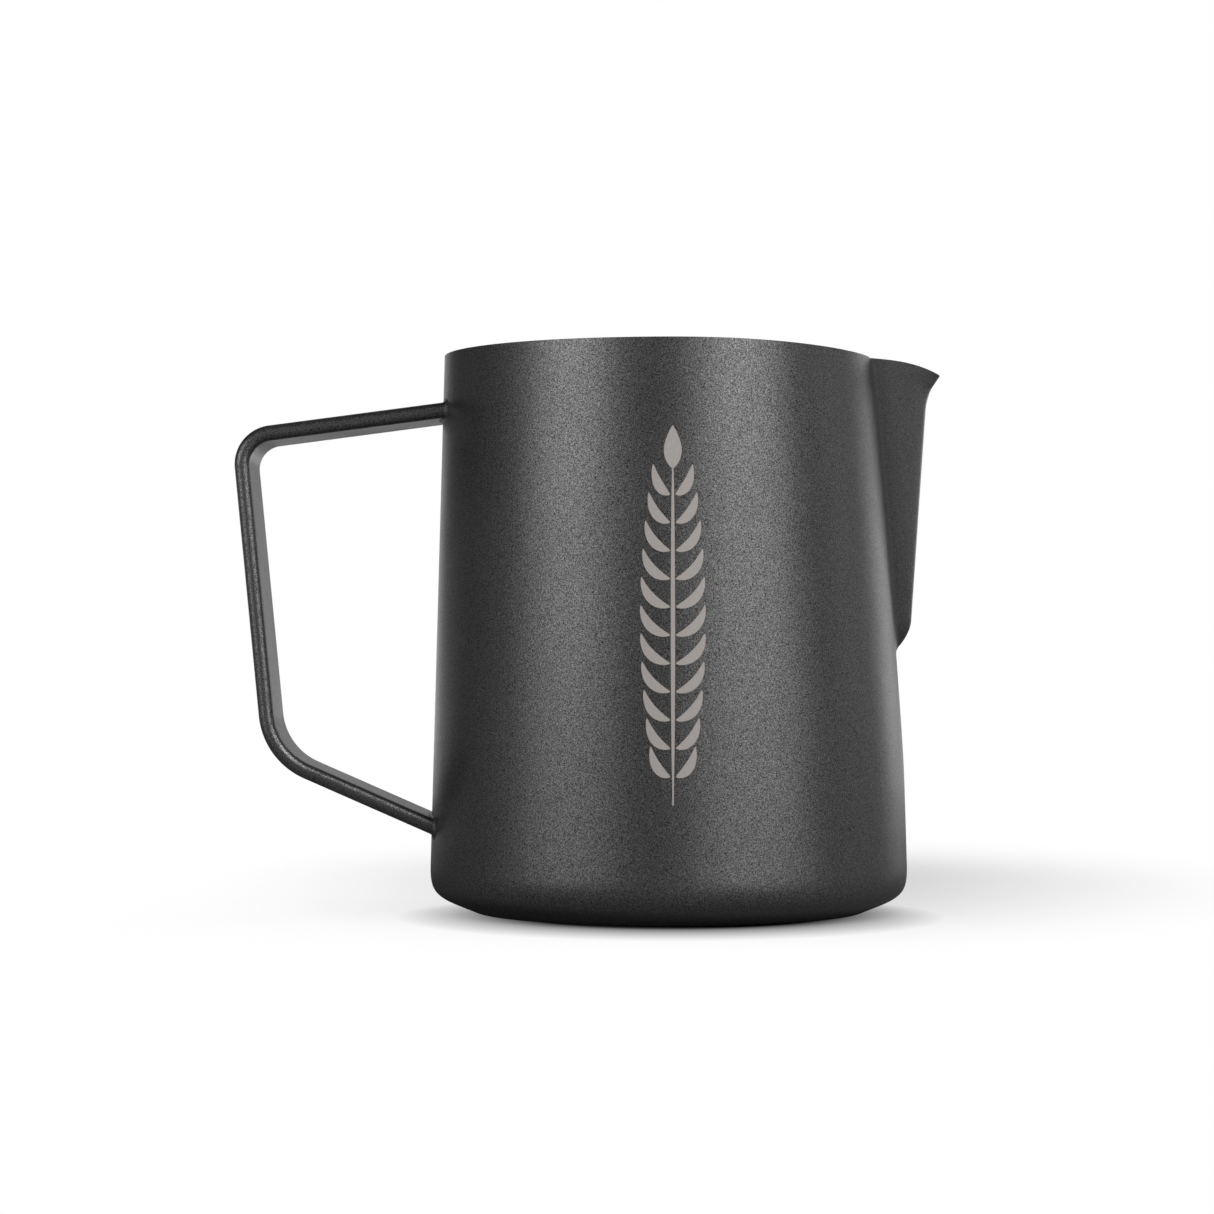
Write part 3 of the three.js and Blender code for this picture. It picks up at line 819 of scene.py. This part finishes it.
def coating(name, grey, roughness, grain, bump, sheen=0.48, glints=0.47, seam_shade=None):
    """A matte black baked coating: fine pebbled grain with small glints, and slow drifts in its gloss.

    seam_shade is how much of its sheen is left right beside the seam: painted shade in the crease.
    """
    material, tree, shader = new_material(name)
    shader.inputs["IOR"].default_value = COATING_IOR
    fine = add_noise(tree, grain, detail=1.5, roughness=0.6)
    greys = [(NOISE_LOW, grey * PIT_SHADE), (NOISE_MIDDLE, grey), (NOISE_HIGH, grey * PEAK_SHADE)]
    tree.links.new(add_ramp(tree, fine, greys), shader.inputs["Base Color"])
    sheens = [(NOISE_LOW, sheen - glints), (NOISE_MIDDLE, sheen), (NOISE_HIGH, sheen + glints * PEAK_GLINT)]
    level = add_ramp(tree, fine, sheens)
    # Painted shade: beside the seam the sheen is lowered, darkening the crease
    if seam_shade is not None:
        distance = tree.nodes.new("ShaderNodeAttribute")
        distance.attribute_name = SEAM_DISTANCE
        share = map_range(tree, distance.outputs["Fac"], 0.0, SEAM_SHADE_REACH, seam_shade, 1.0)
        level = combine(tree, "MULTIPLY", level, share)
    tree.links.new(level, shader.inputs["Specular IOR Level"])
    glosses = [(NOISE_LOW, roughness - DRIFT_GLOSS), (NOISE_HIGH, roughness + DRIFT_GLOSS)]
    tree.links.new(add_ramp(tree, add_noise(tree, DRIFT_SIZE), glosses), shader.inputs["Roughness"])
    relief = tree.nodes.new("ShaderNodeBump")
    relief.inputs["Strength"].default_value = 1.0
    relief.inputs["Distance"].default_value = bump * MM
    tree.links.new(fine, relief.inputs["Height"])
    tree.links.new(relief.outputs["Normal"], shader.inputs["Normal"])
    return material


def etched_steel(name):
    """Dull warm-grey steel where the coating is burned off, with a very fine random grain."""
    material, tree, shader = new_material(name)
    shades = add_ramp(tree, add_noise(tree, ETCHED_GRAIN), list(zip((NOISE_LOW, NOISE_HIGH), ETCHED_SHADES)))
    tint = tree.nodes.new("ShaderNodeMix")
    tint.data_type = "RGBA"
    tint.blend_type = "MULTIPLY"
    tint.inputs["Factor"].default_value = 1.0
    tint.inputs["A"].default_value = ETCHED_GREY
    tree.links.new(shades, tint.inputs["B"])
    tree.links.new(tint.outputs["Result"], shader.inputs["Base Color"])
    shader.inputs["Roughness"].default_value = ETCHED_ROUGHNESS
    return material


# ---- floor, light and camera ----


def build_floor():
    """The camera sees a white floor with the pitcher's painted shadow on it, and plain white further out.
    The pitcher sees it grey near by, as painted shade, and a painted glow behind, standing for a lit sweep."""
    mesh = bpy.data.meshes.new("floor")
    far = FLOOR_HALF_SIDE
    mesh.from_pydata([(-far, -far, 0), (far, -far, 0), (far, far, 0), (-far, far, 0)], [], [(0, 1, 2, 3)])
    floor = add_to_scene("floor", mesh)
    material, tree, shader = new_material("floor_white")
    mesh.materials.append(material)
    place = tree.nodes.new("ShaderNodeTexCoord").outputs["Object"]
    from_middle = distance_from(tree, place)

    # What the pitcher sees: painted shade near by and a painted glow behind
    shader.inputs["Roughness"].default_value = FLOOR_ROUGHNESS
    shader.inputs["Specular IOR Level"].default_value = FLOOR_SHEEN
    shader.inputs["Emission Color"].default_value = (1, 1, 1, 1)
    # Painted shade: the floor is greyer near the pitcher in what the pitcher reflects and what it bounces
    grey = map_range(tree, from_middle, FLOOR_GREY_FROM, FLOOR_GREY_TO, NEAR_FLOOR_SHADED_GREY, FAR_FLOOR_GREY,
                     smooth=True)
    tree.links.new(grey, shader.inputs["Base Color"])
    # Painted light: far behind, the floor glows though it is no lamp, standing for a lit white sweep
    across = tree.nodes.new("ShaderNodeSeparateXYZ")
    tree.links.new(place, across.inputs[0])
    glow = map_range(tree, across.outputs["Y"], SWEEP_FROM, SWEEP_TO, 0.0, SWEEP_GLOW, smooth=True)
    tree.links.new(glow, shader.inputs["Emission Strength"])

    # What the camera sees. The shadow has three parts: how much of the sky above each point is hidden, a
    # darker rim under the foot and a wide faint pool behind.
    open_sky = tree.nodes.new("ShaderNodeAmbientOcclusion")
    open_sky.inputs["Distance"].default_value = SHADOW_REACH
    hidden = map_range(tree, open_sky.outputs["AO"], 0.0, SHADOW_CLEARS, SKY_SHADOW, 0.0)
    from_foot = distance_from(tree, place, FOOT_SHADOW_CENTRE, FOOT_SHADOW_RADII)
    foot = map_range(tree, from_foot, FOOT_SHADOW_CORE, 1.0, FOOT_SHADOW, 0.0)
    from_pool = distance_from(tree, place, POOL_CENTRE, POOL_RADII)
    pool = map_range(tree, from_pool, 0.0, 1.0, POOL_SHADOW, 0.0, smooth=True)
    dark = combine(tree, "ADD", combine(tree, "ADD", hidden, foot), pool)
    bright = combine(tree, "SUBTRACT", 1.0, combine(tree, "MINIMUM", dark, 1.0))
    lit = tree.nodes.new("ShaderNodeEmission")
    tree.links.new(bright, lit.inputs["Strength"])
    plain = tree.nodes.new("ShaderNodeEmission")
    fade = map_range(tree, from_middle, SHADOWS_FADE_FROM, SHADOWS_FADE_TO, 0.0, 1.0, smooth=True)
    seen = mix_shaders(tree, fade, lit.outputs[0], plain.outputs[0])

    by_camera = tree.nodes.new("ShaderNodeLightPath").outputs["Is Camera Ray"]
    either = mix_shaders(tree, by_camera, shader.outputs["BSDF"], seen)
    tree.links.new(either, tree.nodes["Material Output"].inputs["Surface"])


def build_world():
    """White to the camera, and nearly dark to the pitcher, which the soft boxes light."""
    world = bpy.data.worlds.new("studio")
    bpy.context.scene.world = world
    world.use_nodes = True
    tree = world.node_tree
    tree.nodes.clear()
    shades = []
    for grey in (ROOM_GREY, 1):
        background = tree.nodes.new("ShaderNodeBackground")
        background.inputs["Color"].default_value = (grey, grey, grey, 1)
        shades.append(background.outputs["Background"])
    by_camera = tree.nodes.new("ShaderNodeLightPath").outputs["Is Camera Ray"]
    output = tree.nodes.new("ShaderNodeOutputWorld")
    tree.links.new(mix_shaders(tree, by_camera, *shades), output.inputs["Surface"])


def soft_box(name, azimuth, width, low, high, radiance):
    """An upright soft box a metre from the pitcher. The angles are in degrees, as in SOFT_BOXES."""
    bottom, top = (LIGHT_DISTANCE * math.tan(math.radians(edge)) for edge in (low, high))
    lamp = bpy.data.lights.new(name, "AREA")
    lamp.shape = "RECTANGLE"
    lamp.size = 2 * LIGHT_DISTANCE * math.tan(math.radians(width / 2))
    lamp.size_y = top - bottom
    lamp.energy = math.pi * lamp.size * lamp.size_y * radiance
    obj = add_to_scene(name, lamp)
    turn = math.radians(azimuth)
    out = Vector((math.sin(turn), -math.cos(turn), 0))
    obj.location = out * LIGHT_DISTANCE + Vector((0, 0, (bottom + top) / 2 + MM))
    obj.rotation_euler = out.to_track_quat("Z", "Y").to_euler()
    obj.visible_camera = False


def build_camera():
    data = bpy.data.cameras.new("camera")
    data.sensor_width = CAMERA_SENSOR
    data.lens = CAMERA_LENS
    data.clip_start = 0.01
    data.clip_end = 100
    camera = add_to_scene("camera", data)
    camera.location = (CAMERA_X, -CAMERA_DISTANCE, CAMERA_Z)
    camera.rotation_euler = (math.pi / 2 + CAMERA_PITCH, 0, 0)
    bpy.context.scene.camera = camera


# ---- the scene ----

cup_finish = coating("cup_black", 0.037, 0.37, 0.2, 0.02)
# The spout's coat is the cup's, with its sheen raised as painted light on its flanks, and lowered beside the
# seam as painted shade
spout_finish = coating("spout_black", 0.037, 0.38, 0.2, 0.012, sheen=0.54, glints=0.3, seam_shade=0.45)
strap_finish = coating("strap_black", 0.037, 0.37, 0.2, 0.02)
weld_finish = coating("weld_black", 0.03, 0.55, 0.4, 0.03, glints=0.1)
leaf_finish = etched_steel("etched_grey")

pieces = [
    (build_cup(cup_finish), "cup_body", "cup_coating"),
    (build_spout(spout_finish), "spout", "spout_coating"),
    (build_seam(spout_finish), "spout_seam_weld", "weld_coating"),
    (build_strap(strap_finish), "handle", "handle_coating"),
    (build_weld("weld_upper", UPPER_CORNER, UPPER_RISE, UPPER_OUT, weld_finish),
     "handle_weld_upper", "weld_coating"),
    (build_weld("weld_lower", LOWER_CORNER, -LOWER_FALL, LOWER_OUT, weld_finish),
     "handle_weld_lower", "weld_coating"),
]
for piece, node, slot in pieces:
    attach(piece, "root")
    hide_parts(node)
leaf = build_leaf(leaf_finish)
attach(leaf, "root")

build_floor()
build_world()
for box in SOFT_BOXES:
    soft_box(*box)
build_camera()
bpy.context.scene.view_settings.view_transform = "Standard"
